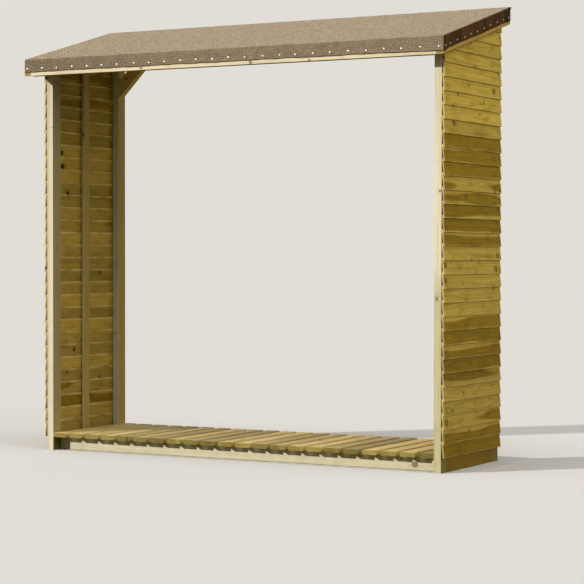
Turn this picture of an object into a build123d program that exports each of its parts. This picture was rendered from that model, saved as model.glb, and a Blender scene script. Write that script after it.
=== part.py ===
from build123d import *
import math
import os

os.makedirs("parts", exist_ok=True)

# Open-fronted log store of planed softwood with a felted pent roof.
# Millimetres, +Z up. The open front faces -Y, and the origin is on the ground
# under the middle of the whole store.

# Overall sizes
store_width = 1870.0
panel_depth = 554.0
front_height = 1689.0
roof_pitch = 15.4

# Planed framing timber, used for the posts, the roof frame and the braces
timber_thickness = 32.0
timber_depth = 56.0
arris_radius = 2.0

# Base frame and slatted floor
bearer_height = 56.0
bearer_setback = 56.0
slat_width = 62.5
slat_thickness = 19.0
slat_gap = 20.0

# Side panels
batten_width = 43.0
batten_thickness = 14.0
board_width = 66.6
board_thickness = 6.0
board_cover = 54.6
board_seat_gap = 0.2
cladding_bottom = 58.0
smallest_offcut = 15.0

# Top rails and knee braces
rail_height = 32.0
brace_reach = 250.0
brace_angle = 45.0

# Roof
front_overhang = 91.0
barge_clearance = 3.0
roof_board_width = 98.0
roof_board_thickness = 11.0
roof_board_gap = 1.0
felt_thickness = 2.5
felt_lap = 41.5
felt_fold_radius = 2.2

# Planes and lines that the pieces share
half_width = store_width / 2
inner_face = half_width - timber_thickness
front_y = (front_overhang - panel_depth) / 2
rear_y = front_y + panel_depth
rear_post_y = rear_y - timber_depth
floor_level = bearer_height + slat_thickness
pitch_angle = math.radians(roof_pitch)
lap_angle = math.asin((board_thickness + board_seat_gap) / board_cover)
cladding_thickness = board_width * math.sin(lap_angle) + board_thickness * math.cos(lap_angle)
barge_inner = half_width + cladding_thickness + barge_clearance
barge_outer = barge_inner + timber_thickness
eaves_y = front_y - front_overhang


def roof_line(y, above=0.0):
    """Height, at depth y, of the plane a distance above the underside of the roof boards."""
    return front_height + (y - front_y) * math.tan(pitch_angle) + above / math.cos(pitch_angle)


def block(x0, x1, y0, y1, z0, z1):
    """Square-cut timber between two corners."""
    middle = Pos((x0 + x1) / 2, (y0 + y1) / 2, (z0 + z1) / 2)
    return middle * Box(x1 - x0, y1 - y0, z1 - z0)


def prism_along_x(points, x0, x1):
    """Outline of (y, z) points carried from x0 to x1."""
    face = make_face(Polyline(*[(x0, y, z) for y, z in points], close=True))
    return extrude(face, amount=x1 - x0, dir=(1, 0, 0))


def prism_along_y(points, y0, y1):
    """Outline of (x, z) points carried from y0 to y1."""
    face = make_face(Polyline(*[(x, y0, z) for x, z in points], close=True))
    return extrude(face, amount=y1 - y0, dir=(0, 1, 0))


def under_roof(x0, x1, y0, y1, z0):
    """Plumb timber whose top is cut to the pitch, tight under the roof boards."""
    outline = [(y0, z0), (y1, z0), (y1, roof_line(y1)), (y0, roof_line(y0))]
    return prism_along_x(outline, x0, x1)


def along_roof(x0, x1, y0, y1, low, high):
    """Timber laid along the pitch between two offsets from the boards' underside, with plumb ends."""
    outline = [
        (y0, roof_line(y0, low)),
        (y1, roof_line(y1, low)),
        (y1, roof_line(y1, high)),
        (y0, roof_line(y0, high)),
    ]
    return prism_along_x(outline, x0, x1)


def eased(timber, direction):
    """Timber with the edges that run in one direction planed to a small round."""
    return fillet(timber.edges().filter_by(Axis((0, 0, 0), direction)), arris_radius)


def save(shape, name):
    """Write one piece, or one set of like pieces, to its own file."""
    shape.label = name
    export_step(shape, f"parts/{name}.step")


def save_pair(right, name):
    """Write the right-hand piece and its mirror image on the left."""
    save(right, f"{name}_right")
    save(mirror(right, about=Plane.YZ), f"{name}_left")


# Posts, plumb, with their tops cut to the pitch
def post(y0):
    """Right-hand post with its outer face on the side of the store."""
    return eased(under_roof(inner_face, half_width, y0, y0 + timber_depth, 0.0), (0, 0, 1))


save_pair(post(front_y), "front_post")
save_pair(post(rear_post_y), "rear_post")


# Side bottom rails between the posts, and the flat battens that stand on them
def side_bottom_rail():
    """Right-hand rail on the ground, flush with the posts."""
    rail = block(inner_face, half_width, front_y + timber_depth, rear_post_y, 0.0, bearer_height)
    return eased(rail, (0, 1, 0))


def mid_batten():
    """Right-hand batten that backs the cladding half way along the panel."""
    y0 = (front_y + rear_y - batten_width) / 2
    back_x = half_width - batten_thickness
    return eased(under_roof(back_x, half_width, y0, y0 + batten_width, bearer_height), (0, 0, 1))


save_pair(side_bottom_rail(), "side_bottom_rail")
save_pair(mid_batten(), "mid_batten")


# Overlapping cladding: each board leans out over the top of the one below
def lap_board(bottom_z):
    """Right-hand board whose outer bottom edge is at bottom_z, leaning by the lap angle."""
    sine = math.sin(lap_angle)
    cosine = math.cos(lap_angle)
    top_z = bottom_z + board_width * cosine - board_thickness * sine
    foot_x = half_width + board_width * sine
    foot_z = top_z - board_width * cosine
    outline = [
        (half_width, top_z),
        (foot_x, foot_z),
        (foot_x + board_thickness * cosine, foot_z + board_thickness * sine),
        (half_width + board_thickness * cosine, top_z + board_thickness * sine),
    ]
    return prism_along_y(outline, front_y, rear_y)


def side_cladding():
    """Right-hand stack of boards, the upper ones cut to the pitch of the roof."""
    tallest = roof_line(rear_y)
    courses = 1 + int((tallest - cladding_bottom - smallest_offcut) / board_cover)
    below_roof = under_roof(half_width - 1, barge_inner, front_y - 1, rear_y + 1, -1)
    boards = []
    for course in range(courses):
        board = lap_board(cladding_bottom + course * board_cover)
        if board.bounding_box().max.Z > front_height:
            board = board & below_roof
        boards += board.solids()
    return Compound(children=boards)


save_pair(side_cladding(), "side_cladding")


# Base frame: three bearers on the ground between the side panels
def bearer(y0):
    """Bearer across the store, from side panel to side panel."""
    return eased(block(-inner_face, inner_face, y0, y0 + timber_thickness, 0.0, bearer_height), (1, 0, 0))


save(bearer(front_y + bearer_setback), "front_bearer")
save(bearer((front_y + rear_y - timber_thickness) / 2), "middle_bearer")
save(bearer(rear_y - bearer_setback - timber_thickness), "rear_bearer")

# Floor slats from front to back, spaced evenly between the posts
slat_count = round((2 * inner_face + slat_gap) / (slat_width + slat_gap))
slat_pitch = (2 * inner_face - slat_width) / (slat_count - 1)
for number in range(slat_count):
    slat_x = -inner_face + number * slat_pitch
    slat = block(slat_x, slat_x + slat_width, front_y, rear_y, bearer_height, floor_level)
    save(eased(slat, (0, 1, 0)), f"floor_slat_{number + 1:02d}")


# Top rails between the posts, bevelled to the pitch
def top_rail(y0):
    """Rail as deep as the posts, under the roof boards."""
    low_z = roof_line(y0) - rail_height
    return eased(under_roof(-inner_face, inner_face, y0, y0 + timber_depth, low_z), (1, 0, 0))


save(top_rail(front_y), "front_top_rail")
save(top_rail(rear_post_y), "rear_top_rail")


# Knee braces, mitred at both ends, between the rear posts and the rear top rail
def knee_brace():
    """Right-hand brace, flush with the front of the rear post."""
    slope = math.radians(brace_angle)
    rail_z = roof_line(rear_post_y) - rail_height
    low_z = rail_z - brace_reach * math.tan(slope)
    outline = [
        (inner_face, low_z),
        (inner_face - brace_reach, rail_z),
        (inner_face - brace_reach + timber_depth / math.sin(slope), rail_z),
        (inner_face, low_z + timber_depth / math.cos(slope)),
    ]
    brace = prism_along_y(outline, rear_post_y, rear_post_y + timber_thickness)
    return eased(brace, (-math.cos(slope), 0, math.sin(slope)))


save_pair(knee_brace(), "knee_brace")


# Roof frame: a barge board outside each side panel, and the front fascia between them
def barge_board():
    """Right-hand barge board, laid along the pitch with plumb-cut ends."""
    board = along_roof(barge_inner, barge_outer, eaves_y, rear_y, -timber_depth, 0.0)
    return eased(board, (0, math.cos(pitch_angle), math.sin(pitch_angle)))


def front_fascia():
    """Plumb fascia with its lower edge level with the barge boards' front ends."""
    low_z = roof_line(eaves_y, -timber_depth)
    board = under_roof(-barge_inner, barge_inner, eaves_y, eaves_y + timber_thickness, low_z)
    return eased(board, (1, 0, 0))


save_pair(barge_board(), "barge_board")
save(front_fascia(), "front_fascia")


# Roof boards, laid from front to back
def roof_boards():
    """Row of boards across the roof, with a narrow gap between them."""
    count = round((2 * barge_outer + roof_board_gap) / (roof_board_width + roof_board_gap))
    pitch = (2 * barge_outer + roof_board_gap) / count
    boards = []
    for number in range(count):
        x0 = -barge_outer + number * pitch
        x1 = x0 + pitch - roof_board_gap
        boards.append(along_roof(x0, x1, eaves_y, rear_y, 0.0, roof_board_thickness).solid())
    return Compound(children=boards)


save(roof_boards(), "roof_boards")


# Roof felt, folded down over all four edges of the roof
def roof_felt():
    """One sheet over the boards that laps down the roof frame by the felt lap."""
    top = roof_board_thickness + felt_thickness
    outside = along_roof(
        -barge_outer - felt_thickness,
        barge_outer + felt_thickness,
        eaves_y - felt_thickness,
        rear_y + felt_thickness,
        -felt_lap,
        top,
    )
    upper_face = outside.faces().sort_by(Axis.Z)[-1]
    corners = outside.edges().filter_by(Axis.Z)
    outside = fillet(corners + upper_face.edges(), min(felt_fold_radius, 0.9 * felt_thickness))
    inside = along_roof(-barge_outer, barge_outer, eaves_y, rear_y, -2 * felt_lap, roof_board_thickness)
    return outside - inside


save(roof_felt(), "roof_felt")
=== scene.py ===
# Open-fronted log store: its looks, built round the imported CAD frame.
# Metres. +X is to the right, the open front faces -Y and +Z is up. The origin is on the
# ground under the middle of the store.
import math
from functools import partial

import bmesh
import bpy
import numpy as np
from mathutils import Matrix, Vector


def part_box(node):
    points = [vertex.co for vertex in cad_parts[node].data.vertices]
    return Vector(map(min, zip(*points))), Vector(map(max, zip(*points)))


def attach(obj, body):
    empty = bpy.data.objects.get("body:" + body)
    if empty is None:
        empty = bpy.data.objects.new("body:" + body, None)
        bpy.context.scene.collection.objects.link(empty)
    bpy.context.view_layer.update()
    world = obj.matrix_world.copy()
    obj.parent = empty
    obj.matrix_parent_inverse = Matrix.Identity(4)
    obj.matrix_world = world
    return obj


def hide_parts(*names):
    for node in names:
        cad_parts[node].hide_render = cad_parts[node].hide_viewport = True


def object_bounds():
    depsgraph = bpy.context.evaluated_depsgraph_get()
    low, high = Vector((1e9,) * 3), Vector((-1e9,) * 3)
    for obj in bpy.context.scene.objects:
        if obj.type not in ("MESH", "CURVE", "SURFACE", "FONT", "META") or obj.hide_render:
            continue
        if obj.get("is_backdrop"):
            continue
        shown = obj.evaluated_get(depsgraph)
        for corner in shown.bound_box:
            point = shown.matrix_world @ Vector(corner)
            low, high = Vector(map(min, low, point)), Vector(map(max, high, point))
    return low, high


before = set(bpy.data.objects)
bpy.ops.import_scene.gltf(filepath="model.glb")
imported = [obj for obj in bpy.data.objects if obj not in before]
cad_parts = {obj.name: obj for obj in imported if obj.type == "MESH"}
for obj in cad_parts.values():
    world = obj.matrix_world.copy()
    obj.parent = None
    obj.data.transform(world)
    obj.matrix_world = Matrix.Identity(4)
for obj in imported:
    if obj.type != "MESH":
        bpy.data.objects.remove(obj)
cad_low, cad_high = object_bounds()

# Sizes of the store, the same as in the CAD source
FRONT_HEIGHT = 1.689
PITCH = math.radians(15.4)
HALF_WIDTH = 0.935
FRONT_Y = -0.2315
REAR_Y = 0.3225
ROOF_BOARD_THICKNESS = 0.011
ROOF_BOARD_COUNT = 20
ROOF_BOARD_GAP = 0.001
FELT_LAP = 0.0415
BOARD_WIDTH = 0.0666
BOARD_THICKNESS = 0.006
BOARD_COVER = 0.0546
BOARD_SEAT_GAP = 0.0002
COURSES = 33
CLADDING_BOTTOM = 0.058
LAP_ANGLE = math.asin((BOARD_THICKNESS + BOARD_SEAT_GAP) / BOARD_COVER)
SLAT_COUNT = 22
SLAT_WIDTH = 0.0625
SLAT_PITCH = 0.0830238
FLOOR_LEVEL = 0.075


def roof_height(y, above=0.0):
    """Height, at depth y, of the plane a distance above the underside of the roof boards."""
    return FRONT_HEIGHT + (y - FRONT_Y) * math.tan(PITCH) + above / math.cos(PITCH)


# Nodes and colours
def linear(hex_colour):
    """An sRGB hex colour as the linear RGBA that a material takes."""
    channels = [int(hex_colour[i : i + 2], 16) / 255 for i in (1, 3, 5)]
    channels = [c / 12.92 if c <= 0.04045 else ((c + 0.055) / 1.055) ** 2.4 for c in channels]
    return (*channels, 1.0)


def fill(tree, node, inputs):
    """Sets a node's inputs, given in order or by name. A number or colour goes on the socket
    itself, and a socket, or the first output of another node, is linked to it."""
    for key, value in inputs.items() if isinstance(inputs, dict) else enumerate(inputs):
        if isinstance(value, bpy.types.Node):
            value = next(socket for socket in value.outputs if socket.enabled)
        if isinstance(value, bpy.types.NodeSocket):
            tree.links.new(value, node.inputs[key])
        else:
            node.inputs[key].default_value = value


def add(tree, kind, inputs=(), stops=(), **settings):
    """Adds one shader node with its settings and inputs. The stops of a colour ramp are pairs of a
    place and a colour, or of a place and a grey."""
    made = tree.nodes.new(f"ShaderNode{kind}")
    for name, value in settings.items():
        setattr(made, name, value)
    fill(tree, made, inputs)
    if stops:
        elements = made.color_ramp.elements
        elements.remove(elements[1])
        elements[0].position = stops[0][0]
        for i, (place, value) in enumerate(stops):
            element = elements.new(place) if i else elements[0]
            element.color = linear(value) if isinstance(value, str) else (value, value, value, 1.0)
    return made


def new_material(name):
    """An empty material, a way to add nodes to it, and a way to set its shader's inputs."""
    material = bpy.data.materials.new(name)
    material.use_nodes = True
    tree = material.node_tree
    return material, partial(add, tree), partial(fill, tree, tree.nodes["Principled BSDF"])


# A mix of two colours, one colour tinted by another, and the middle of a noise's range
BLEND = {"data_type": "RGBA"}
TINTED = {"data_type": "RGBA", "blend_type": "MULTIPLY"}
NOISE_RANGE = {"From Min": 0.3, "From Max": 0.7}


# Softwood. The pattern is solid: growth rings round a pith line that runs along the board, with
# branches that leave the pith as knots, so faces, edges and sawn ends agree with each other.
# Its noises: repeats per metre along, across and through the board, and their detail
WOOD_NOISES = {
    "ripple": ((7.0, 45.0, 45.0), 2.0),  # uneven rings, about 22 mm
    "tint": ((2.2, 14.0, 14.0), 2.0),  # the treatment's green, about 70 mm
    "streak": ((2.6, 105.0, 105.0), 2.0),  # long streaks, about 9 mm wide
    "fibre": ((22.0, 900.0, 900.0), 1.0),  # long fibres, about 1 mm wide
    "edge": ((9.0, 0.0, 0.0), 1.0),  # how far the pale edges show along the board, 110 mm
    "stain": ((11.0, 26.0, 26.0), 3.0),  # brown stains, about 90 by 40 mm
}
RIPPLE_SIZE = (0.0, 0.002, 0.002)
# Boards of one row are cut this far apart in the noise, and have two numbers drawn for each
BOARDS_APART = (60.0, 0.0, 0.0)
SECOND_DRAW = 0.37
# Early wood is pale and darkens slowly into a thin line of late wood that ends sharply. Rings
# differ in width, and near a knot they are pushed aside by more than a ring
RING_SHADES = [(0.0, 0.0), (0.45, 0.12), (0.82, 1.0), (1.0, 0.1)]
RING_NOISE = {"Scale": 0.35, "Detail": 1.0}
RING_UNEVENNESS = 1.5
RING_PUSH = 1.6
PUSH_FADE = -0.3
THINNEST_KNOT = 0.0003
# A listed knot is longer along the board than across it, by one over this
KNOT_STRETCH = 0.8
KNOT_EDGE = {"From Min": 1.08, "From Max": 0.9}
HEART_EDGE = 0.0012
HEART_MOOD = 0.16
FIBRE_SHADES = {"To Min": 0.93, "To Max": 1.05}
PALE_EDGE_BLUR = 0.0015
# Where a noise starts and ends to show, for the treatment's green, the pale edges and the stains
GREEN_RANGE = {"From Min": 0.38, "From Max": 0.68}
EDGE_RANGE = {"From Min": 0.35, "From Max": 0.6}
STAIN_RANGE = {"From Min": 0.5, "From Max": 0.72}
# The surface's direction along a board where it is a sawn end, and backwards where it is turned
# away from the front
SAWN_RANGE = {"From Min": 0.6, "From Max": 0.85}
TURNED_RANGE = {"From Min": -0.7, "From Max": -0.3}
SAWN_CONTRAST = 0.35
# Colour that faces towards the front are painted towards, as lit from the front
FRONT_LIT_WOOD = "#DDD4A4"
# Height of the lowest strip that the ground keeps damp
DAMP_STRIP = {"From Min": 0.084, "From Max": 0.044}
WOOD_IOR = 1.5
LATE_WOOD_GLOSS = 0.1
FIBRE_RELIEF = 0.6
KNOT_RELIEF = -0.5
GRAIN_DEPTH = 0.0004


def board_point(put, centre, turn, order, step=None, first=0.0, seed=0.0):
    """Point in a board's own axes, u along it, v across and w through it, then the same point
    counted over the whole row of boards, the board's number, and how far the surface is a sawn end.

    The object's coordinates lose the centre and are turned. For a row of like boards the number is
    the first coordinate, less first, divided by the step and rounded down, and each board's point
    is brought back by that many steps. A sawn end is where the surface's direction runs along u."""

    def in_order(vector):
        """The parts of a vector along, across and through the board."""
        parts = put("SeparateXYZ", [vector]).outputs
        return put("CombineXYZ", [parts["xyz".index(axis)] for axis in order])

    source = put("TexCoord").outputs
    point = put("VectorMath", [source["Object"], centre], operation="SUBTRACT")
    point = put("Mapping", {"Vector": point, "Rotation": turn})
    whole, number = point, seed
    if step:
        count = put("SeparateXYZ", [point]).outputs[0]
        count = put("Math", [count, first], operation="SUBTRACT")
        count = put("Math", [count, step[0]], operation="DIVIDE")
        count = put("Math", [count], operation="FLOOR")
        back = [-length for length in step]
        point = put("VectorMath", [count, back, point], operation="MULTIPLY_ADD")
        number = put("Math", [count, seed], operation="ADD")
    facing = put("Mapping", {"Vector": source["Normal"], "Rotation": turn})
    facing = put("SeparateXYZ", [in_order(facing)]).outputs[0]
    facing = put("Math", [facing], operation="ABSOLUTE")
    sawn = put("MapRange", {"Value": facing} | SAWN_RANGE)
    return in_order(point), in_order(whole), number, sawn


def knot_pattern(put, look, shifted, radius, angle, whole, knots):
    """Distance from the nearest knot's middle, counted in that knot's own radius. Branch lines
    stand one to a cell of length by angle round the pith, many of them too thin to show, and the
    knots that are listed stand at their own places on the board."""
    along = put("SeparateXYZ", [shifted]).outputs[0]
    cell = (1 / look["knot_spacing"], 1 / look["knot_angle"], 0.0)
    place = put("CombineXYZ", [along, angle])
    place = put("VectorMath", [place, cell], operation="MULTIPLY")
    branch = put(
        "TexVoronoi", {"Vector": place, "Scale": 1.0, "Randomness": 0.8}, voronoi_dimensions="2D"
    ).outputs
    away = put("VectorMath", [place, branch["Position"]], operation="SUBTRACT")
    sideways = put("Math", [radius, look["knot_angle"]], operation="MULTIPLY")
    real = put("CombineXYZ", [look["knot_spacing"], sideways])
    away = put("VectorMath", [away, real], operation="MULTIPLY")
    away = put("VectorMath", [away], operation="LENGTH")
    size = put("SeparateColor", [branch["Color"]])
    size = put("MapRange", [size, look["knot_rarity"], 1.0, THINNEST_KNOT, look["knot_radius"]])
    knot = put("Math", [away, size], operation="DIVIDE")
    flat = put("VectorMath", [whole, (KNOT_STRETCH, 1.0, 0.0)], operation="MULTIPLY")
    for u, v, knot_radius in knots:
        gap = put("VectorMath", [flat, (KNOT_STRETCH * u, v, 0.0)], operation="DISTANCE")
        gap = put("Math", [gap, knot_radius], operation="DIVIDE")
        knot = put("Math", [knot, gap], operation="MINIMUM")
    return knot


def softwood(
    name, look, centre, turn=(0.0, 0.0, 0.0), order="xyz", knots=(), heart_run=(), **row
):
    """Planed or sawn softwood. Rings are the distance from a wandering pith line divided by the
    ring width, heartwood is what lies within a radius of that line, and a knot is what lies within
    its own radius of a branch line that leaves the pith. The rings bend round each knot."""
    material, put, finish = new_material(name)
    point, whole, number, sawn = board_point(put, centre, turn, order, **row)
    chance = put("TexWhiteNoise", {"W": number}, noise_dimensions="1D").outputs["Color"]
    other = put("Math", [number, SECOND_DRAW], operation="ADD")
    mood = put("TexWhiteNoise", {"W": other}, noise_dimensions="1D").outputs["Color"]
    moods = put("SeparateColor", [mood]).outputs
    shifted = put("VectorMath", [chance, BOARDS_APART, point], operation="MULTIPLY_ADD")
    noises = {}
    wander = ((look["wander_rate"], 0.0, 0.0), 1.0)
    for key, (repeats, detail) in ({"wander": wander} | WOOD_NOISES).items():
        stretched = put("VectorMath", [shifted, repeats], operation="MULTIPLY")
        noises[key] = put("TexNoise", {"Vector": stretched, "Scale": 1.0, "Detail": detail})

    # The pith line's place, its slow wander along the board and a fine ripple in the rings
    near, far = look["pith_depth"]
    below, above = look["pith_place"]
    reach = (0.0, below - above, far - near)
    pith = put("VectorMath", [chance, reach, (0.0, -below, near)], operation="MULTIPLY_ADD")
    place = put("VectorMath", [point, pith], operation="ADD")
    for key, size in (("wander", (0.0, look["wander"], look["wander"])), ("ripple", RIPPLE_SIZE)):
        moved = noises[key].outputs["Color"]
        place = put("VectorMath", [moved, size, place], operation="MULTIPLY_ADD")
    across = put("VectorMath", [place, (0.0, 1.0, 1.0)], operation="MULTIPLY")
    radius = put("VectorMath", [across], operation="LENGTH")
    parts = put("SeparateXYZ", [place]).outputs
    angle = put("Math", [parts[1], parts[2]], operation="ARCTAN2")
    knot = knot_pattern(put, look, shifted, radius, angle, whole, knots)

    # How far the grain is pushed aside near a knot: 1 at its middle, almost 0 three radii away
    push = put("Math", [knot, knot], operation="MULTIPLY")
    push = put("Math", [push, PUSH_FADE], operation="MULTIPLY")
    push = put("Math", [push], operation="EXPONENT")
    phase = put("Math", [radius, 1 / look["ring_width"]], operation="MULTIPLY")
    phase = put("Math", [push, RING_PUSH, phase], operation="MULTIPLY_ADD")
    uneven = put("TexNoise", {"W": phase} | RING_NOISE, noise_dimensions="1D")
    phase = put("Math", [uneven, RING_UNEVENNESS, phase], operation="MULTIPLY_ADD")
    ring = put("Math", [phase], operation="FRACT")
    late = put("ValToRGB", [ring], RING_SHADES)

    # Heartwood takes no treatment and stays brown, with a clear edge to it. Its radius is the
    # pith's own depth and a share of a range more, so that it shows on the face as a wide strip, a
    # flame or not at all
    low, high = look["heart"]
    share = moods[0]
    if heart_run:
        course = put("Math", [number, row["seed"]], operation="SUBTRACT")
        course = put("Math", [course, 1 / COURSES], operation="MULTIPLY")
        run = put("ValToRGB", [course], [(k / COURSES, value) for k, value in heart_run])
        share = put("Math", [share, HEART_MOOD, run], operation="MULTIPLY_ADD")
    edge = put("Math", [share, high - low, low + look["wander"] / 2], operation="MULTIPLY_ADD")
    depth = put("SeparateXYZ", [pith]).outputs[2]
    edge = put("Math", [edge, depth], operation="ADD")
    inside = put("Math", [edge, radius], operation="SUBTRACT")
    heart = put("MapRange", [inside, -HEART_EDGE, HEART_EDGE])
    heart = put("Math", [heart, look["heart_depth"]], operation="MULTIPLY")

    contrast = put("Math", [sawn, SAWN_CONTRAST, look["ring_contrast"]], operation="MULTIPLY_ADD")
    depth = put("Math", [late, contrast], operation="MULTIPLY")
    sap = {0: depth, 6: linear(look["sapwood"]), 7: linear(look["late_wood"])}
    brown = {0: depth, 6: linear(look["heartwood"]), 7: linear(look["late_heart"])}

    # The green of the treatment, uneven along the board, in the sapwood alone
    green = {"Value": noises["tint"], "To Max": look["green"]} | GREEN_RANGE
    green = put("MapRange", green)
    sap = put("Mix", {0: green, 6: put("Mix", sap, **BLEND), 7: linear(look["treatment"])}, **BLEND)
    colour = put("Mix", {0: heart, 6: sap, 7: put("Mix", brown, **BLEND)}, **BLEND)

    # Streaks and fibres, both long, and each board's own tone
    fibre = noises["fibre"].outputs[0]
    low, high = look["streak"]
    streak = put(
        "MapRange", {"Value": noises["streak"], "To Min": low, "To Max": high} | NOISE_RANGE
    )
    fine = put("MapRange", {"Value": fibre} | NOISE_RANGE | FIBRE_SHADES)
    low, high = look["tone"]
    tone = put("Math", [moods[1], high - low, low], operation="MULTIPLY_ADD")
    for factor in (streak, fine, tone):
        colour = put("Mix", {0: 1.0, 6: colour, 7: factor}, **TINTED)
    # The long edges of thin boards are paler in places: partly sapwood, partly a painted highlight
    # where light catches the arris
    if look["pale_edge_and_highlight"]:
        across = put("SeparateXYZ", [point]).outputs[1]
        across = put("Math", [across], operation="ABSOLUTE")
        start = look["pale_edge_and_highlight"] - look["rim_width"]
        rim = put("MapRange", [across, start - PALE_EDGE_BLUR, start + PALE_EDGE_BLUR])
        low, high = look["rim_strength"]
        patchy = {"Value": noises["edge"], "To Min": low, "To Max": high} | EDGE_RANGE
        patchy = put("MapRange", patchy)
        rim = put("Math", [rim, patchy], operation="MULTIPLY")
        colour = put("Mix", {0: rim, 6: colour, 7: linear(look["rim_colour"])}, **BLEND)
    # Brown stains with soft edges
    stain = {"Value": noises["stain"], "To Max": look["stain"]} | STAIN_RANGE
    stain = put("MapRange", stain)
    # Faces turned away from the front take a painted shade colour, and near the ground they are
    # darker with damp
    source = put("TexCoord").outputs
    turned = put("SeparateXYZ", [source["Normal"]]).outputs[1]
    turned = put("MapRange", {"Value": turned} | TURNED_RANGE)
    low_down = put("SeparateXYZ", [source["Object"]]).outputs[2]
    darkening = put("MapRange", {"Value": low_down} | DAMP_STRIP)
    darkening = put("Math", [darkening, turned], operation="MULTIPLY")
    # A band from a given height down is painted darker, as shade
    painted_low_shade = put("MapRange", [low_down, *look["painted_low_shade_height"], 0.0, look["painted_low_shade"]])
    darkening = put("Math", [darkening, painted_low_shade], operation="MAXIMUM")
    # Sawn ends drink the treatment, so they are darker and greener
    soaked = put("Math", [sawn, look["end_depth"]], operation="MULTIPLY")
    tints = {"stain_colour": stain, "painted_shade": turned, "darkening": darkening, "end_grain": soaked}
    for key, amount in tints.items():
        deeper = put("Mix", {0: 1.0, 6: colour, 7: linear(look[key])}, **TINTED)
        colour = put("Mix", {0: amount, 6: colour, 7: deeper}, **BLEND)
    # Faces towards the front are painted paler, as lit from the front
    front_light = look["painted_front_light"]
    painted_front_light = put("Math", [turned, -front_light, front_light], operation="MULTIPLY_ADD")
    colour = put("Mix", {0: painted_front_light, 6: colour, 7: linear(FRONT_LIT_WOOD)}, **BLEND)

    # A knot: brown rings of its own, a dark rim, and darker wood for a little way round it
    rim, wood = look["knot_rim"], look["knot_wood"]
    halo = put("Math", [push, look["halo"]], operation="MULTIPLY")
    colour = put("Mix", {0: halo, 6: colour, 7: linear(rim)}, **BLEND)
    rings = put("ValToRGB", [knot], [(0.0, rim), (0.15, wood), (0.66, wood), (0.86, rim)])
    body = put("MapRange", {"Value": knot} | KNOT_EDGE)
    colour = put("Mix", {0: body, 6: colour, 7: rings}, **BLEND)

    rough = {"To Min": look["roughness"], "To Max": look["roughness"] - LATE_WOOD_GLOSS}
    rough = put("MapRange", {"Value": late} | rough)
    relief = put("Math", [fibre, FIBRE_RELIEF, late], operation="MULTIPLY_ADD")
    relief = put("Math", [body, KNOT_RELIEF, relief], operation="MULTIPLY_ADD")
    grain = {"Strength": look["relief"], "Distance": GRAIN_DEPTH, "Height": relief}
    surface = {"Roughness": rough, "IOR": WOOD_IOR, "Specular IOR Level": look["specular"]}
    finish(surface | {"Base Color": colour, "Normal": put("Bump", grain)})
    return material


# Planed pressure-treated pine: smooth and pale, a faint green tint, fine soft rings and few knots.
# Its rings are 4 mm wide, and show as broader bands where a face is cut along them.
PLANED_PINE = {
    "sapwood": "#E7DCBA",
    "late_wood": "#CFBF8A",
    "heartwood": "#D8C08C",
    "late_heart": "#BC9B60",
    "treatment": "#CBCFA4",
    "knot_wood": "#97834F",
    "knot_rim": "#64522E",
    "ring_width": 0.0042,
    "ring_contrast": 0.55,
    "pith_depth": (0.030, 0.075),
    "pith_place": (-0.035, 0.035),
    "wander_rate": 0.9,
    "wander": 0.03,
    "heart": (-0.060, -0.008),
    "heart_depth": 0.7,
    "knot_spacing": 0.34,
    "knot_angle": 0.8,
    "knot_rarity": 0.7,
    "knot_radius": 0.008,
    "halo": 0.16,
    "end_grain": "#A9B076",
    "end_depth": 0.75,
    "painted_shade": "#B9B18C",
    "darkening": "#C4B88C",
    "painted_low_shade": 0.0,
    "painted_low_shade_height": (1.3, 0.1),
    "pale_edge_and_highlight": 0.0,
    "rim_colour": "#E6DCB4",
    "rim_strength": (0.05, 0.65),
    "rim_width": 0.003,
    "painted_front_light": 0.0,
    "stain": 0.12,
    "stain_colour": "#B09A5C",
    "green": 0.26,
    "streak": (0.93, 1.05),
    "tone": (0.94, 1.02),
    "roughness": 0.62,
    "specular": 0.4,
    "relief": 0.35,
}
# Thin sawn and treated cladding: olive yellow sapwood, brown heartwood patches with clear curved
# edges, and knots 10 to 25 mm across. Each board has its own tone, and the lower ones are painted
# darker and greyer, as shade.
LAP_BOARD = PLANED_PINE | {
    "sapwood": "#E6C759",
    "late_wood": "#BE9638",
    "heartwood": "#A9891C",
    "late_heart": "#8A6B12",
    "treatment": "#C4B04C",
    "knot_wood": "#9A7C34",
    "knot_rim": "#3F2C10",
    "ring_width": 0.0048,
    "pith_depth": (0.010, 0.040),
    "pith_place": (-0.008, 0.028),
    "wander_rate": 1.8,
    "wander": 0.036,
    "heart": (-0.030, 0.036),
    "heart_depth": 0.95,
    "knot_spacing": 0.26,
    "knot_rarity": 0.72,
    "knot_radius": 0.009,
    "halo": 0.12,
    "end_depth": 0.2,
    "painted_shade": "#FFFFFF",
    "darkening": "#B6B0E2",
    "painted_low_shade": 0.4,
    "pale_edge_and_highlight": BOARD_WIDTH / 2,
    "rim_colour": "#E8D08A",
    "painted_front_light": 0.4,
    "stain": 0.4,
    "stain_colour": "#B08A4C",
    "green": 0.3,
    "streak": (0.88, 1.06),
    "tone": (0.84, 1.06),
    "roughness": 0.72,
    "specular": 0.1,
    "relief": 0.5,
}
# The left side's boards came from nearer the outside of the log, with little heartwood. Their pale
# edges are wider and brighter, a painted highlight along each board's edge.
LEFT_BOARD = LAP_BOARD | {
    "heart": (-0.050, 0.010),
    "tone": (0.7, 1.12),
    "sapwood": "#CEB454",
    "knot_wood": "#54401C",
    "knot_rim": "#33240C",
    "halo": 0.3,
    "rim_colour": "#F0DA92",
    "rim_strength": (0.05, 0.9),
    "rim_width": 0.0065,
}
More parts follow.
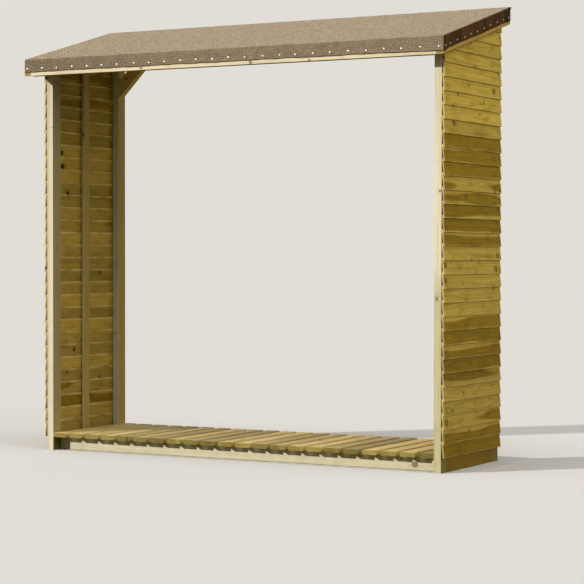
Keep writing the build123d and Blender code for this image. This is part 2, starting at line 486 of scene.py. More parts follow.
# Floor slats: the same treated wood, greener, with the rings plain on the sawn ends.
FLOOR_SLAT = LAP_BOARD | {
    "end_depth": 0.85,
    "end_grain": "#ABB078",
    "painted_front_light": 0.0,
    "stain": 0.25,
    "painted_low_shade": 0.0,
    "darkening": "#FFFFFF",
    "pale_edge_and_highlight": 0.0,
    "sapwood": "#D8C088",
    "late_wood": "#A48E4E",
    "heartwood": "#B8955A",
    "late_heart": "#92713B",
    "treatment": "#B4AA6C",
    "heart": (-0.040, 0.006),
    "heart_depth": 0.6,
    "ring_width": 0.0055,
    "wander": 0.02,
    "wander_rate": 0.8,
    "green": 0.55,
    "tone": (0.58, 1.4),
}
# Roof boards: sawn and left rough, warmer and plainer, seen only from below.
ROOF_BOARD = LAP_BOARD | {
    "painted_front_light": 0.0,
    "painted_low_shade": 0.0,
    "pale_edge_and_highlight": 0.0,
    "sapwood": "#D5BC82",
    "treatment": "#B6AA6C",
    "ring_width": 0.005,
    "roughness": 0.8,
    "relief": 0.8,
}
# Barge boards: the planed timber again, painted as olive as the cladding beside it, as warm light
# thrown back on to their shaded side.
BARGE_TIMBER = PLANED_PINE | {
    "sapwood": "#CEB054",
    "late_wood": "#B2903A",
    "treatment": "#B3A550",
    "painted_shade": "#F8EABC",
    "green": 0.4,
}
# The side rails are painted darker and greener, as the shade under the cladding's lower edge, and
# the knee braces are painted paler, as warm light thrown back on to them from behind.
SHADED_RAIL = BARGE_TIMBER | {
    "sapwood": "#D6C476",
    "late_wood": "#B4A058",
    "treatment": "#A4A05C",
    "green": 0.6,
    "tone": (0.8, 0.86),
    "specular": 0.1,
}
BRACE = BARGE_TIMBER | {
    "sapwood": "#F6E4A4",
    "treatment": "#E8E4A8",
    "green": 0.5,
    "tone": (1.04, 1.08),
}
BATTEN = PLANED_PINE | {"sapwood": "#EAD694", "treatment": "#C8C88A", "painted_shade": "#C3BA92"}
# The rear posts are painted blue-green, as shade lit by the sky, with a painted warm shade on their
# inner faces
SKY_SHADE_POST = PLANED_PINE | {"sapwood": "#D8E3CF", "late_wood": "#B9C2A2", "painted_shade": "#D2AC5C"}
PALE_POST = PLANED_PINE | {"sapwood": "#E7DFC6", "late_wood": "#CFC293"}
# The right front post is painted darker below the middle of its height, as the shadow of plants
# standing in front of it.
SHADOW_PAINTED_POST = PLANED_PINE | {"painted_low_shade": 0.6, "painted_low_shade_height": (0.80, 0.69), "darkening": "#CBC999"}
FASCIA = PLANED_PINE | {
    "sapwood": "#EEDDB8",
    "late_wood": "#D6BE88",
    "green": 0.15,
    "stain": 0.3,
}


def dress(node, material):
    """Gives a CAD node its material."""
    for material_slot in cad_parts[node].material_slots:
        material_slot.material = material


# The framing timbers: the look of each, the axes that run along, across and through it, its turn,
# and its plainest knots, as places along and across it and a radius
LEVEL = (0.0, 0.0, 0.0)
ON_PITCH = (-PITCH, 0.0, 0.0)
LEFT_MITRE = (0.0, math.radians(45), 0.0)
RIGHT_MITRE = (0.0, math.radians(135), 0.0)
FRAMING = {
    "front_post_left": (PALE_POST, "zxy", LEVEL, []),
    "front_post_right": (SHADOW_PAINTED_POST, "zxy", LEVEL, [(-0.1775, -0.003, 0.006)]),
    "rear_post_left": (SKY_SHADE_POST, "zxy", LEVEL, []),
    "rear_post_right": (SKY_SHADE_POST, "zxy", LEVEL, []),
    "side_bottom_rail_left": (SHADED_RAIL, "yzx", LEVEL, []),
    "side_bottom_rail_right": (SHADED_RAIL, "yzx", LEVEL, []),
    "mid_batten_left": (BATTEN, "zyx", LEVEL, []),
    "mid_batten_right": (BATTEN, "zyx", LEVEL, []),
    "front_bearer": (PLANED_PINE, "xzy", LEVEL, [(0.797, -0.006, 0.011)]),
    "middle_bearer": (PLANED_PINE, "xzy", LEVEL, []),
    "rear_bearer": (PLANED_PINE, "xzy", LEVEL, []),
    "front_top_rail": (PLANED_PINE, "xyz", LEVEL, []),
    "rear_top_rail": (PLANED_PINE, "xyz", LEVEL, []),
    "knee_brace_left": (BRACE, "xzy", LEFT_MITRE, []),
    "knee_brace_right": (BRACE, "xzy", RIGHT_MITRE, []),
    "barge_board_left": (BARGE_TIMBER, "yzx", ON_PITCH, []),
    "barge_board_right": (BARGE_TIMBER, "yzx", ON_PITCH, [(-0.02, -0.02, 0.004)]),
    "front_fascia": (FASCIA, "xzy", LEVEL, [(0.136, -0.026, 0.006), (-0.3886, -0.024, 0.005)]),
}
for count, (node, (look, order, turn, knots)) in enumerate(FRAMING.items()):
    low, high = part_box(node)
    timber = softwood(
        f"planed_treated_pine_{node}",
        look,
        centre=(low + high) / 2,
        turn=turn,
        order=order,
        knots=knots,
        seed=3.1 + 1.7 * count,
    )
    dress(node, timber)

# Cladding: turned by the lap, each board lies in its own layer, one thickness and seat gap further
# out. The pattern's origin is the middle of the lowest board's inner face.
layer = BOARD_THICKNESS + BOARD_SEAT_GAP
rise = BOARD_COVER * math.cos(LAP_ANGLE)
board_height = BOARD_WIDTH * math.cos(LAP_ANGLE)
first_top = CLADDING_BOTTOM + board_height - BOARD_THICKNESS * math.sin(LAP_ANGLE)
first_x = HALF_WIDTH + BOARD_WIDTH / 2 * math.sin(LAP_ANGLE)
first_z = first_top - BOARD_WIDTH / 2 * math.cos(LAP_ANGLE)
# Share of heartwood by board, counted from the lowest: neighbours came from one part of a log
HEART_RUN = [
    (0, 0.78), (1, 0.6), (2, 0.5), (3, 0.2), (4, 0.3), (5, 0.48), (6, 0.6), (7, 0.64),
    (8, 0.64), (9, 0.54), (10, 0.5), (11, 0.12), (12, 0.1), (13, 0.0), (14, 0.46), (15, 0.62),
    (16, 0.7), (17, 0.65), (18, 0.45), (19, 0.52), (20, 0.72), (22, 0.72), (23, 0.46),
    (24, 0.05), (29, 0.12),
]
# The plainest knots on the right side: along the board, height, and radius
RIGHT_KNOTS = [
    (0.2487, 1.505, 0.0123), (0.0564, 1.590, 0.0045), (-0.0026, 1.511, 0.0056),
    (-0.1545, 1.423, 0.005), (-0.1379, 1.355, 0.0104), (0.2499, 1.231, 0.0111),
    (-0.0250, 1.071, 0.0111), (0.2533, 1.113, 0.0062), (0.1095, 1.403, 0.005),
    (0.2720, 0.785, 0.0123), (-0.2150, 0.803, 0.0104), (-0.2150, 0.745, 0.0104),
    (0.2881, 0.839, 0.0091), (0.0253, 0.825, 0.0056), (-0.0463, 0.301, 0.0067),
    (-0.1506, 0.237, 0.0062), (-0.2047, 0.194, 0.0123), (-0.0454, 0.364, 0.0067),
]
# On the left side they show inside the store
LEFT_KNOTS = [
    (-0.117, 1.287, 0.010),
    (-0.110, 1.229, 0.012),
    (-0.073, 1.113, 0.009),
    (-0.101, 1.645, 0.010),
]
for side, name, seed, lean, look, knots, run in (
    (1, "right", 11.0, LAP_ANGLE, LAP_BOARD, RIGHT_KNOTS, HEART_RUN),
    (-1, "left", 71.0, math.pi - LAP_ANGLE, LEFT_BOARD, LEFT_KNOTS, ()),
):
    lap = softwood(
        f"treated_lap_boards_{name}",
        look,
        centre=(side * first_x, 0.0, first_z),
        turn=(0.0, lean, 0.0),
        order="yzx",
        knots=[(y, side * (z - first_z) * math.cos(LAP_ANGLE), radius) for y, z, radius in knots],
        heart_run=run,
        step=(layer, 0.0, side * rise),
        first=-BOARD_SEAT_GAP / 2,
        seed=seed,
    )
    dress(f"side_cladding_{name}", lap)

first_slat_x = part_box("floor_slat_01")[0].x + SLAT_WIDTH / 2
slats = softwood(
    "treated_floor_slats",
    FLOOR_SLAT,
    centre=(first_slat_x, 0.0, FLOOR_LEVEL),
    order="yxz",
    step=(SLAT_PITCH, 0.0, 0.0),
    first=-SLAT_PITCH / 2,
    seed=131.0,
)
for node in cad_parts:
    if node.startswith("floor_slat"):
        dress(node, slats)

roof_low, roof_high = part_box("roof_boards")
roof_step = (roof_high.x - roof_low.x + ROOF_BOARD_GAP) / ROOF_BOARD_COUNT
boards = softwood(
    "sawn_roof_boards",
    ROOF_BOARD,
    centre=(roof_low.x + roof_step / 2, 0.0, (roof_low.z + roof_high.z) / 2),
    turn=ON_PITCH,
    order="yxz",
    step=(roof_step, 0.0, 0.0),
    first=-roof_step / 2,
    seed=191.0,
)
dress("roof_boards", boards)


# Mineral felt: bitumen sheet faced with crushed slate, matt and gritty. The grit is 1 to 2 mm in
# life, drawn 3 mm wide so that it shows, with a finer speckle for near views.
GRIT_COLOURS = [
    (0.0, "#544538"),
    (0.22, "#917E66"),
    (0.5, "#BAA588"),
    (0.75, "#D2BC9B"),
    (0.92, "#EFE0C4"),
]
GRIT_PER_METRE = 330.0
SPECKLE_PER_METRE = 900.0
SPECKLE_SHADES = {"To Min": 0.86, "To Max": 1.12}
MOTTLE_PER_METRE = 42.0
MOTTLE_SHADES = {"To Min": 0.84, "To Max": 1.1}
GRIT_RELIEF = -220.0
GRIT_DEPTH = 0.0006
# Grit is smoother on the flaps, and painted darker at the left end of the front one, as shade
SMOOTH_GRIT = "#BCA88D"
SMOOTHING = {"From Min": 0.0, "From Max": 0.3, "To Min": 0.45, "To Max": 0.72}
SHADED_GRIT = "#6E6A60"
LEFT_END = {"From Min": -0.2, "From Max": -0.9, "To Max": 0.6}
# Streaks on the flaps are upright, about 40 by 200 mm, between two browns
FLAP_STREAKS = (24.0, 24.0, 5.0)
STREAK_RANGE = {"From Min": 0.32, "From Max": 0.68}
FLAP_SHADES = {"To Min": 0.8, "To Max": 1.15}
FLAP_WEAR = 0.96
DARK_BITUMEN = "#3F240A"
BROWN_BITUMEN = "#744A18"
FRAYED_EDGE = "#3A2620"


def mineral_felt():
    """Grit is a cell pattern whose cells take one of five colours. Broad noise mottles it, long
    upright noise streaks the flaps, and the lowest few millimetres are dark at the cut edge."""
    material, put, finish = new_material("mineral_felt_slate_faced")
    point = put("TexCoord").outputs["Object"]
    grit = put("TexVoronoi", {"Vector": point, "Scale": GRIT_PER_METRE}).outputs
    pick = put("SeparateColor", [grit["Color"]])
    granules = put("ValToRGB", [pick], GRIT_COLOURS)
    speckle = put("TexNoise", {"Vector": point, "Scale": SPECKLE_PER_METRE, "Detail": 1.0})
    mottle = {"Vector": point, "Scale": MOTTLE_PER_METRE, "Detail": 3.0, "Roughness": 0.65}
    mottle = put("TexNoise", mottle)
    flap = put("Attribute", attribute_name="flap").outputs["Fac"]
    smoothed = put("MapRange", {"Value": flap} | SMOOTHING)
    colour = put("Mix", {0: smoothed, 6: granules, 7: linear(SMOOTH_GRIT)}, **BLEND)
    for noise, shades in ((speckle, SPECKLE_SHADES), (mottle, MOTTLE_SHADES)):
        shade = put("MapRange", {"Value": noise} | NOISE_RANGE | shades)
        colour = put("Mix", {0: 1.0, 6: colour, 7: shade}, **TINTED)
    # The left end of the front flap is painted darker, as shade
    left_end = put("SeparateXYZ", [point])
    left_end = put("MapRange", {"Value": left_end} | LEFT_END)
    left_end = put("Math", [left_end, flap], operation="MULTIPLY")
    darkening = put("Mix", {0: 1.0, 6: colour, 7: linear(SHADED_GRIT)}, **TINTED)
    colour = put("Mix", {0: left_end, 6: colour, 7: darkening}, **BLEND)
    # The flaps: grit rubbed thin where the sheet was bent and handled, so brown bitumen shows
    upright = put("VectorMath", [point, FLAP_STREAKS], operation="MULTIPLY")
    upright = put("TexNoise", {"Vector": upright, "Scale": 1.0, "Detail": 1.5})
    upright = put("MapRange", {"Value": upright} | STREAK_RANGE)
    browns = {0: upright, 6: linear(DARK_BITUMEN), 7: linear(BROWN_BITUMEN)}
    bitumen = put("Mix", browns, **BLEND)
    shade = put("MapRange", {"Value": mottle} | NOISE_RANGE | FLAP_SHADES)
    bitumen = put("Mix", {0: 1.0, 6: bitumen, 7: shade}, **TINTED)
    worn = put("Math", [flap, FLAP_WEAR], operation="MULTIPLY")
    colour = put("Mix", {0: worn, 6: colour, 7: bitumen}, **BLEND)
    edge = put("Attribute", attribute_name="edge").outputs["Fac"]
    colour = put("Mix", {0: edge, 6: colour, 7: linear(FRAYED_EDGE)}, **BLEND)
    height = put("Math", [grit["Distance"], GRIT_RELIEF], operation="MULTIPLY")
    height = put("Math", [speckle, height], operation="ADD")
    bump = put("Bump", {"Strength": 0.55, "Distance": GRIT_DEPTH, "Height": height})
    surface = {"Roughness": 0.92, "IOR": 1.5, "Specular IOR Level": 0.15}
    finish(surface | {"Base Color": colour, "Normal": bump})
    return material


# Bitumen at the sheet's cut edge: nearly black brown, slightly glossy where the knife went
def cut_bitumen():
    """One dark colour broken by noise about 2.5 mm wide."""
    material, put, finish = new_material("cut_bitumen_edge")
    point = put("TexCoord").outputs["Object"]
    grain = put("TexNoise", {"Vector": point, "Scale": 400.0, "Detail": 2.0})
    colour = put("ValToRGB", [grain], [(0.35, "#2A1C17"), (0.7, "#4A3429")])
    finish({"Base Color": colour, "Roughness": 0.6})
    return material


# Hot-dipped galvanised steel: bright pale grey with a faint dull spangle
def galvanised(name, bright, dull, roughness):
    """Metal whose colour wanders between bright and dull over about 4 mm."""
    material, put, finish = new_material(name)
    point = put("TexCoord").outputs["Object"]
    spangle = put("TexNoise", {"Vector": point, "Scale": 260.0, "Detail": 2.0})
    colour = put("ValToRGB", [spangle], [(0.35, dull), (0.65, bright)])
    finish({"Base Color": colour, "Metallic": 1.0, "Roughness": roughness})
    return material


felt_finish = mineral_felt()
edge_finish = cut_bitumen()
clout_finish = galvanised("galvanised_clout_heads", "#CFC9BC", "#A39C8E", 0.4)
wire_nail_finish = galvanised("bright_wire_nail_heads", "#8C7F68", "#62563F", 0.55)


# Making pieces from arrays
def grid_faces(rows, columns, closed=False):
    """Quads of a rows by columns grid, joined from the last column to the first where closed."""
    row = np.arange(rows - 1)[:, None]
    column = np.arange(columns if closed else columns - 1)[None, :]
    here = row * columns + column
    beside = row * columns + (column + 1) % columns
    return np.stack([here, here + columns, beside + columns, beside], -1).reshape(-1, 4)


def make_piece(name, points, faces, materials, slot, **attributes):
    """A smooth mesh from arrays, with doubled points merged, that rides on the store."""
    mesh = bpy.data.meshes.new(name)
    mesh.from_pydata(points.tolist(), [], faces.tolist())
    for key, values in attributes.items():
        carried = mesh.attributes.new(key, "FLOAT", "POINT")
        carried.data.foreach_set("value", values.astype(np.float32))
    merged = bmesh.new()
    merged.from_mesh(mesh)
    bmesh.ops.remove_doubles(merged, verts=merged.verts, dist=1e-6)
    merged.to_mesh(mesh)
    merged.free()
    for material in materials:
        mesh.materials.append(material)
    mesh.polygons.foreach_set("use_smooth", np.full(len(mesh.polygons), True))
    made = bpy.data.objects.new(name, mesh)
    bpy.context.scene.collection.objects.link(made)
    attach(made, "root")
    return made


def thicken(sheet, thickness, offset):
    """Gives a sheet its thickness, with the cut bitumen along its edge."""
    solid = sheet.modifiers.new("thickness", "SOLIDIFY")
    solid.thickness = thickness
    solid.offset = offset
    solid.material_offset_rim = 1


RIM_HEIGHT = 0.35
SUNK = 0.5


def nail_heads(name, places, outward, size, material, around=8, rings=2):
    """Domed discs, whose size is a radius and a height. A profile from the rim, a share of the
    height up, to the middle, radius times the cosine and height times the sine of an angle, is
    turned round each nail's own axis."""
    radius, height = size
    places = np.asarray(places, float)
    outward = np.asarray(outward, float)
    helper = np.where(np.abs(outward[:, 2:]) < 0.9, [[0.0, 0.0, 1.0]], [[1.0, 0.0, 0.0]])
    first = np.cross(helper, outward)
    first /= np.linalg.norm(first, axis=1, keepdims=True)
    second = np.cross(outward, first)
    turn = np.linspace(0, 2 * np.pi, around, endpoint=False)
    lift = np.linspace(0, np.pi / 2, rings + 1)
    reach = np.concatenate([[radius], radius * np.cos(lift)])
    dome = height * (RIM_HEIGHT + (1 - RIM_HEIGHT) * np.sin(lift))
    up = np.concatenate([[-SUNK * height], dome])
    circle = first[:, None, None] * np.cos(turn)[None, None, :, None]
    circle = circle + second[:, None, None] * np.sin(turn)[None, None, :, None]
    points = places[:, None, None] + circle * reach[None, :, None, None]
    points = points + outward[:, None, None] * up[None, :, None, None]
    faces = grid_faces(len(reach), around, closed=True)[:, ::-1]
    count = len(reach) * around
    faces = (faces[None] + count * np.arange(len(places))[:, None, None]).reshape(-1, 4)
    return make_piece(name, points.reshape(-1, 3), faces, [material], "clout_nails")


# The felt. It lies a little inside the CAD sheet, so that nail heads stay within the roof's size.
FELT_THICKNESS = 0.0016
INSET = 0.0010
SHEET_X = cad_high.x - INSET
SHEET_Y = cad_high.y - INSET
OVER_BOARDS = 0.0022
TOP_OFFSET = ROOF_BOARD_THICKNESS + OVER_BOARDS
HANG = (TOP_OFFSET + FELT_LAP) / math.cos(PITCH)
FOLD_RADIUS = 0.004
FOLD_STEPS = 6
HANG_STEPS = 12
# The top's grid, and the steps round each corner
COLUMNS, ROWS, CORNER_STEPS = 241, 81, 5
# The top swells over each board and, more slowly, as a whole
BOARD_SWELL = 0.00025
SHEET_SWELL = 0.0004
SWELL_LEVEL = -0.0003
# Sums of sines along the border: height, radians per metre and start
FLAP_WAVES = [(0.0004, 23.0, 0.0), (0.0003, 61.0, 1.3)]
EDGE_FRAY = [(0.0007, 14.0, 0.4), (0.0005, 47.0, 0.0), (0.0004, 133.0, 0.0)]
# How far the edge sags at the sides' front corners and towards the front's right end
CORNER_SAG, CORNER_SAG_REACH = 0.0065, 0.030
FRONT_SAG = 0.0035
DIMPLE, DIMPLE_RADIUS = 0.0007, 0.008
FRONT_FLAP = 0.3
EDGE_DARKNESS = 0.85

# Clout nails: the first and last of a row and their number, the nails at the two ends of a side,
# how far the rear and left rows are moved along, and the height above the sheet's lower edge
FRONT_NAILS = (-0.969, 0.963, 26)
SIDE_NAILS = (-0.262, 0.252, 9)
SIDE_END_NAILS = (-0.306, 0.2985)
REAR_SHIFT, LEFT_SHIFT = 0.011, 0.006
NAIL_RISE = 0.0145
# Over a folded corner a nail stands further out
EAR_RISE = 0.0040
CLOUT_JITTER, CLOUT_LIFT = 0.004, 0.002
LIFTS_DRAWN = 200
rng = np.random.default_rng(20)
front_nail_x, side_nail_y = (
    np.linspace(*row) + rng.uniform(-CLOUT_JITTER, CLOUT_JITTER, row[2])
    for row in (FRONT_NAILS, SIDE_NAILS)
)
nail_up = rng.uniform(-CLOUT_LIFT, CLOUT_LIFT, LIFTS_DRAWN)


def along_edges():
    """Places and outward directions of the nails along the front, the rear and both sides."""
    front = np.stack([front_nail_x, np.full(len(front_nail_x), -SHEET_Y)], 1)
    rear = np.stack([REAR_SHIFT - front_nail_x[::-1], np.full(len(front_nail_x), SHEET_Y)], 1)
    side_y = np.concatenate([SIDE_END_NAILS[:1], side_nail_y, SIDE_END_NAILS[1:]])
    right = np.stack([np.full(len(side_y), SHEET_X), side_y], 1)
    right[-1, 0] += EAR_RISE
    left = right * (-1, 1) + (0, LEFT_SHIFT)
    flat = np.concatenate([front, rear, right, left])
    directions = [(0.0, -1.0, 0.0), (0.0, 1.0, 0.0), (1.0, 0.0, 0.0), (-1.0, 0.0, 0.0)]
    facing = np.repeat(directions, [len(row) for row in (front, rear, right, left)], 0)
    inner_y = np.clip(flat[:, 1], -SHEET_Y + FOLD_RADIUS, SHEET_Y - FOLD_RADIUS)
    z = roof_height(inner_y, TOP_OFFSET) - HANG + NAIL_RISE + nail_up[: len(flat)]
    return np.column_stack([flat, z]), facing


clout_places, clout_facing = along_edges()


def felt_sheet():
    """The sheet over the roof. Its top is a grid, each board showing as a swell of a fraction of a
    millimetre. From the grid's border a profile turns a quarter circle over the fold and hangs
    straight down, carried round the roof with its corners rounded. Slow waves move the flaps in and
    out and fray the lower edge up and down, and each nail draws the sheet in round itself."""
    inner_x, inner_y = SHEET_X - FOLD_RADIUS, SHEET_Y - FOLD_RADIUS
    x = np.linspace(-inner_x, inner_x, COLUMNS)
    y = np.linspace(-inner_y, inner_y, ROWS)
    grid_x, grid_y = np.meshgrid(x, y, indexing="ij")
    swell = BOARD_SWELL * np.cos(2 * np.pi * (grid_x - roof_low.x) / roof_step)
    swell = swell + SHEET_SWELL * np.sin(3.1 * grid_x + 2.0) * np.sin(7.0 * grid_y + 1.0)
    top_z = roof_height(grid_y, TOP_OFFSET) + swell + SWELL_LEVEL
    top = np.stack([grid_x, grid_y, top_z], -1)

    # The path round the border, in order: front, right, rear, left, with each corner repeated
    path, outward = [], []
    for number, side in enumerate([top[:, 0], top[-1, :], top[::-1, -1], top[0, ::-1]]):
        facing = number * np.pi / 2 - np.pi / 2
        path += [side, np.repeat(side[-1:], CORNER_STEPS, 0)]
        corner = facing + np.pi / 2 * np.arange(1, CORNER_STEPS + 1) / (CORNER_STEPS + 1)
        turn = np.concatenate([np.full(len(side), facing), corner])
        outward.append(np.stack([np.cos(turn), np.sin(turn)], 1))
    path, outward = np.concatenate(path), np.concatenate(outward)
    steps = np.linalg.norm(np.diff(path[:, :2], axis=0), axis=1)
    length = np.concatenate([[0], np.cumsum(steps)])

    # The profile: outward reach and drop of each ring, then the waves
    bend = np.linspace(0, np.pi / 2, FOLD_STEPS)
    down = np.linspace(FOLD_RADIUS, HANG, HANG_STEPS + 1)[1:]
    reach = np.concatenate([FOLD_RADIUS * np.sin(bend), np.full(HANG_STEPS, FOLD_RADIUS)])
    drop = np.concatenate([FOLD_RADIUS * (1 - np.cos(bend)), down])
    share = np.clip((drop - FOLD_RADIUS) / (HANG - FOLD_RADIUS), 0, 1)
    wave, fray = (
        sum(height * np.sin(length * rate + start) for height, rate, start in waves)
        for waves in (FLAP_WAVES, EDGE_FRAY)
    )
    # Near its front corners each side flap sags below the rest of its edge
    sideways, forwards = np.abs(outward[:, 0]), np.clip(-outward[:, 1], 0, 1)
    from_corner = (path[:, 1] + SHEET_Y) * sideways / CORNER_SAG_REACH
    fray = fray + CORNER_SAG * sideways * np.exp(-(from_corner**4))
    # Along the front it hangs a little lower towards the right
    fray = fray + FRONT_SAG * forwards * np.clip(path[:, 0] / SHEET_X, 0, 1) ** 2
    out = reach[None] + wave[:, None] * share[None] ** 1.5
    fall = drop[None] + fray[:, None] * share[None]
    flat = path[:, None, :2] + outward[:, None] * out[..., None]
    hung = np.concatenate([flat, (path[:, None, 2] - fall)[..., None]], -1)
    gap = np.linalg.norm(hung[:, :, None] - clout_places[None, None], axis=-1)
    dimple = DIMPLE * np.exp(-((gap / DIMPLE_RADIUS) ** 2)).sum(-1)
    hung[..., :2] -= outward[:, None] * dimple[..., None]

    around = len(path)
    points = np.concatenate([top.reshape(-1, 3), hung.transpose(1, 0, 2).reshape(-1, 3)])
    top_faces = grid_faces(COLUMNS, ROWS)
    ring_faces = grid_faces(len(drop), around, closed=True) + COLUMNS * ROWS
    # How far each point belongs to a side flap, or less so to the front or rear one
    over = np.clip(drop / FOLD_RADIUS, 0, 1)[:, None]
    flap = np.maximum(sideways[None] * over, FRONT_FLAP * np.abs(outward[:, 1])[None] * over)
    flap = np.concatenate([np.zeros(COLUMNS * ROWS), flap.ravel()])
    edge = np.zeros_like(flap)
    edge[-around:] = EDGE_DARKNESS
    made = make_piece(
        "roof_felt_sheet",
        points,
        np.concatenate([top_faces, ring_faces]),
        [felt_finish, edge_finish],
        "mineral_felt",
        flap=flap,
        edge=edge,
    )
    thicken(made, FELT_THICKNESS, -1.0)
    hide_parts("roof_felt")
    return made


felt = felt_sheet()

# At the rear corners the spare sheet is folded round on to the side flap, and its free edge stands
# off it. The outline of the fold is how far it reaches at each drop.
EAR_DROPS = (0.003, 0.016, 0.030, 0.044, 0.0575)
EAR_REACH = (0.002, 0.018, 0.036, 0.047, 0.034)
EAR_LIFT = 0.0055
EAR_DEPTH = 0.0004
EAR_INSET = 0.001
EAR_EDGE_DARKNESS = 0.8
EAR_THICKNESS = 0.0013
EAR_ROWS, EAR_COLUMNS = 15, 9


def folded_corner(name, side):
    """A rear corner of the sheet folded flat against the side flap. Across, the piece runs from the
    roof's corner to a free edge at the outline, which lifts by the square of the way across."""
    along_outline = np.linspace(0, 1, len(EAR_DROPS))
    down = np.linspace(0, 1, EAR_ROWS)
    drop = np.interp(down, along_outline, EAR_DROPS)
    distance = np.interp(down, along_outline, EAR_REACH)
    across = np.linspace(0, 1, EAR_COLUMNS)
    y = SHEET_Y - EAR_INSET - across[None, :] * distance[:, None]
    x = np.broadcast_to(side * (SHEET_X + EAR_DEPTH + EAR_LIFT * across**2), y.shape)
    z = roof_height(y, TOP_OFFSET) - drop[:, None]
    faces = grid_faces(EAR_ROWS, EAR_COLUMNS)
    made = make_piece(
        name,
        np.stack([x, y, z], -1).reshape(-1, 3),
        faces if side > 0 else faces[:, ::-1],
        [felt_finish, edge_finish],
        "mineral_felt",
        flap=np.ones(y.size),
        edge=np.tile(np.where(across == 1, EAR_EDGE_DARKNESS, 0.0), EAR_ROWS),
    )
    thicken(made, EAR_THICKNESS, 1.0)
    return made


corners = [
    folded_corner("felt_corner_rear_right", 1),
    folded_corner("felt_corner_rear_left", -1),
]
CLOUT_HEAD = (0.0039, 0.0011)
CLOUT_SEAT = 0.0005
clout_places = clout_places - clout_facing * CLOUT_SEAT
clouts = nail_heads(
    "felt_clout_nails", clout_places, clout_facing, CLOUT_HEAD, clout_finish, around=10, rings=3
)

# Nails through the cladding into the posts and battens, one to a board at each
POST_NAIL_INSET = 0.028
BOARD_NAIL_RISE = 0.020
BELOW_ROOF = 0.02
BOARD_NAIL_JITTER = 0.004


def cladding_nails():
    """Places on the outer faces of the boards, a little above each lower edge, and the leaning
    direction of each."""
    foot_z = CLADDING_BOTTOM + BOARD_COVER * np.arange(COURSES)
    lean, height = math.sin(LAP_ANGLE), math.cos(LAP_ANGLE)
    outer = BOARD_WIDTH * lean + BOARD_THICKNESS * height
    x = HALF_WIDTH + outer - BOARD_NAIL_RISE * lean
    z = foot_z + BOARD_NAIL_RISE * height
    places, facing = [], []
    for side in (1, -1):
        for y in (FRONT_Y + POST_NAIL_INSET, (FRONT_Y + REAR_Y) / 2, REAR_Y - POST_NAIL_INSET):
            shown = z[z < roof_height(y) - BELOW_ROOF]
            jitter = rng.uniform(-BOARD_NAIL_JITTER, BOARD_NAIL_JITTER, (len(shown), 2))
            across = side * (x - jitter[:, 0] * lean)
            places.append(np.stack([across, y + jitter[:, 1], shown + jitter[:, 0] * height], 1))
            facing.append(np.tile([side * height, 0.0, lean], (len(shown), 1)))
    return np.concatenate(places), np.concatenate(facing)


CLADDING_NAIL_HEAD = (0.0017, 0.0003)
nail_heads("cladding_nails", *cladding_nails(), CLADDING_NAIL_HEAD, wire_nail_finish)

FROM_SLAT_MIDDLE = 0.017
SLAT_NAIL_JITTER = 0.003


def slat_nails():
    """Two nails to a slat over each bearer, on the slat's upper face."""
    middle = first_slat_x + SLAT_PITCH * np.arange(SLAT_COUNT)
    bearers = ("front_bearer", "middle_bearer", "rear_bearer")
    bearer_y = [sum(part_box(node)[i].y for i in (0, 1)) / 2 for node in bearers]
    x = middle[:, None, None] + np.array([-FROM_SLAT_MIDDLE, FROM_SLAT_MIDDLE])[None, None, :]
    y = np.array(bearer_y)[None, :, None]
    x, y = np.broadcast_arrays(x, y)
    places = np.stack([x, y, np.full_like(x, FLOOR_LEVEL)], -1).reshape(-1, 3)
    places[:, :2] += rng.uniform(-SLAT_NAIL_JITTER, SLAT_NAIL_JITTER, (len(places), 2))
    return places, np.tile([0.0, 0.0, 1.0], (len(places), 1))


FLOOR_NAIL_HEAD = (0.0028, 0.0004)
nail_heads("floor_nails", *slat_nails(), FLOOR_NAIL_HEAD, wire_nail_finish)

# The floor, the light and the camera. A lamp has a name, an azimuth left of the front and an
# elevation in degrees, a strength, a spread in degrees and a colour.
WORLD_LIGHT = 0.2
LAMPS = [
    ("key_softbox", 42.0, 18.5, 3.3, 2.0, (1.0, 0.98, 0.94)),
    ("top_softbox", 0.0, 78.0, 1.1, 40.0, (1.0, 1.0, 1.0)),
    ("side_softbox", -80.0, 25.0, 0.95, 36.0, (1.0, 0.97, 0.88)),
    ("rear_bounce", -125.0, 20.0, 0.24, 39.0, (1.0, 0.87, 0.58)),
]
BACKDROP = linear("#E2DED7")
FLOOR_BOUNCE = linear("#605A3E")
FLOOR_SIZE = 60.0
FLOOR_GAP = 0.0005


def light_on_floor(channel):
    """Light that falls on open level ground, in one channel: the world's, and each lamp's strength
    times the sine of its elevation and its colour, over pi."""
    lamps = (
        strength * math.sin(math.radians(elevation)) * colour[channel]
        for _, _, elevation, strength, _, colour in LAMPS
    )
    return WORLD_LIGHT + sum(lamps) / math.pi


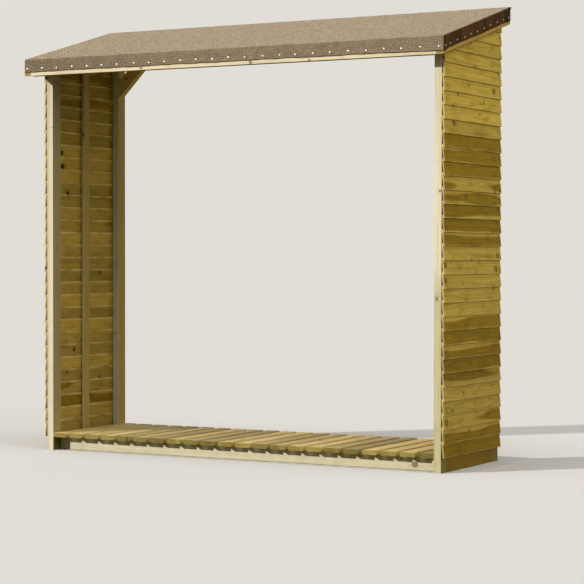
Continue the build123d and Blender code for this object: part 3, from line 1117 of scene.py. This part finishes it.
def studio_floor():
    """A pale floor, a hair below the store. To the camera it comes out as pale as the backdrop, and
    it throws back less light than that."""
    floor = bpy.data.meshes.new("floor")
    corners = [(-1, -1), (1, -1), (1, 1), (-1, 1)]
    floor.from_pydata([(FLOOR_SIZE * x, FLOOR_SIZE * y, 0) for x, y in corners], [], [(0, 1, 2, 3)])
    material, put, finish = new_material("pale_floor")
    shown = (*(BACKDROP[channel] / light_on_floor(channel) for channel in range(3)), 1.0)
    seen = put("LightPath").outputs["Is Camera Ray"]
    colour = put("Mix", {0: seen, 6: FLOOR_BOUNCE, 7: shown}, **BLEND)
    finish({"Base Color": colour, "Roughness": 1.0, "Specular IOR Level": 0.0})
    floor.materials.append(material)
    made = bpy.data.objects.new("floor", floor)
    made.location.z = -FLOOR_GAP
    bpy.context.scene.collection.objects.link(made)
    made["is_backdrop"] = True


def studio_light():
    """A low key from the left of the front, broad soft lamps from above and from the right, a faint
    warm one from behind, and an even pale surround that lights less than it shows."""
    for name, azimuth, elevation, strength, spread, colour in LAMPS:
        lamp = bpy.data.lights.new(name, "SUN")
        lamp.energy = strength
        lamp.angle = math.radians(spread)
        lamp.color = colour
        holder = bpy.data.objects.new(name, lamp)
        holder.rotation_euler = (math.radians(90 - elevation), 0.0, math.radians(-azimuth))
        bpy.context.scene.collection.objects.link(holder)
    world = bpy.data.worlds.new("surround")
    bpy.context.scene.world = world
    world.use_nodes = True
    world.node_tree.nodes.clear()
    put = partial(add, world.node_tree)
    rays = put("LightPath").outputs
    seen = rays["Is Camera Ray"]
    for ray in ("Is Glossy Ray", "Is Transmission Ray"):
        seen = put("Math", [seen, rays[ray]], operation="MAXIMUM")
    light = put("Background", {"Color": linear("#FFFFFF"), "Strength": WORLD_LIGHT})
    backdrop = put("Background", {"Color": BACKDROP, "Strength": 1.0})
    both = put("MixShader", [seen, light, backdrop])
    put("OutputWorld", {"Surface": both})


SENSOR_WIDTH = 36.0
FRAME_PIXELS = 584
FOCAL_PIXELS = 1945.4
CAMERA_PLACE = (4.0795, -7.0552, 0.8465)
CAMERA_YAW_PITCH_ROLL = (29.135, -1.118, 0.053)


def camera():
    """The viewpoint: place, turn and focal length for a square frame."""
    lens = bpy.data.cameras.new("camera")
    lens.sensor_width = SENSOR_WIDTH
    lens.lens = FOCAL_PIXELS / FRAME_PIXELS * SENSOR_WIDTH
    lens.clip_end = 200.0
    holder = bpy.data.objects.new("camera", lens)
    yaw, pitch, roll = (math.radians(angle) for angle in CAMERA_YAW_PITCH_ROLL)
    turn = Matrix.Rotation(yaw, 4, "Z") @ Matrix.Rotation(math.pi / 2 + pitch, 4, "X")
    turn = turn @ Matrix.Rotation(roll, 4, "Z")
    holder.matrix_world = Matrix.Translation(CAMERA_PLACE) @ turn
    bpy.context.scene.collection.objects.link(holder)
    bpy.context.scene.camera = holder


studio_floor()
studio_light()
camera()
bpy.context.scene.view_settings.view_transform = "Standard"

bpy.context.view_layer.update()
low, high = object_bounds()
